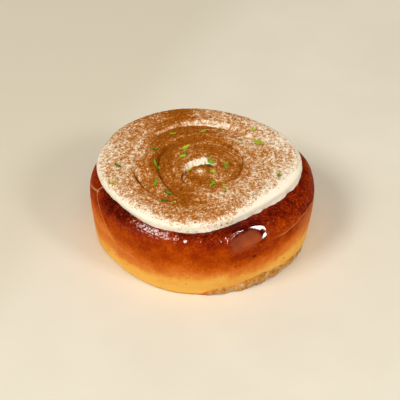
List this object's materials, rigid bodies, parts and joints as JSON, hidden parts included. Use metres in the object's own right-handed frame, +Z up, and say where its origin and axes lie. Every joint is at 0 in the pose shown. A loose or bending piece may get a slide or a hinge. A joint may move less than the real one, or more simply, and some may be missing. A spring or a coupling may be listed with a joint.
{
  "type": "cinnamon bun",
  "caption": "Round glazed cinnamon bun with a swirled disc of cream icing, a dusting of cinnamon and shreds of lime zest.",
  "frame": {"origin": "on the surface that the bun stands on, under the middle of its bounding box", "axes": "+Z up, -Y the front where the leaked sugar crust shows, +X to the right"},
  "size_m": [0.0998, 0.098, 0.0371],
  "materials": {
    "bun": "gloss",
    "icing": "satin",
    "crust": "satin"
  },
  "bodies": {
    "root": {"bun": "bun", "icing": "icing", "crust": "crust"}
  },
  "joints": []
}
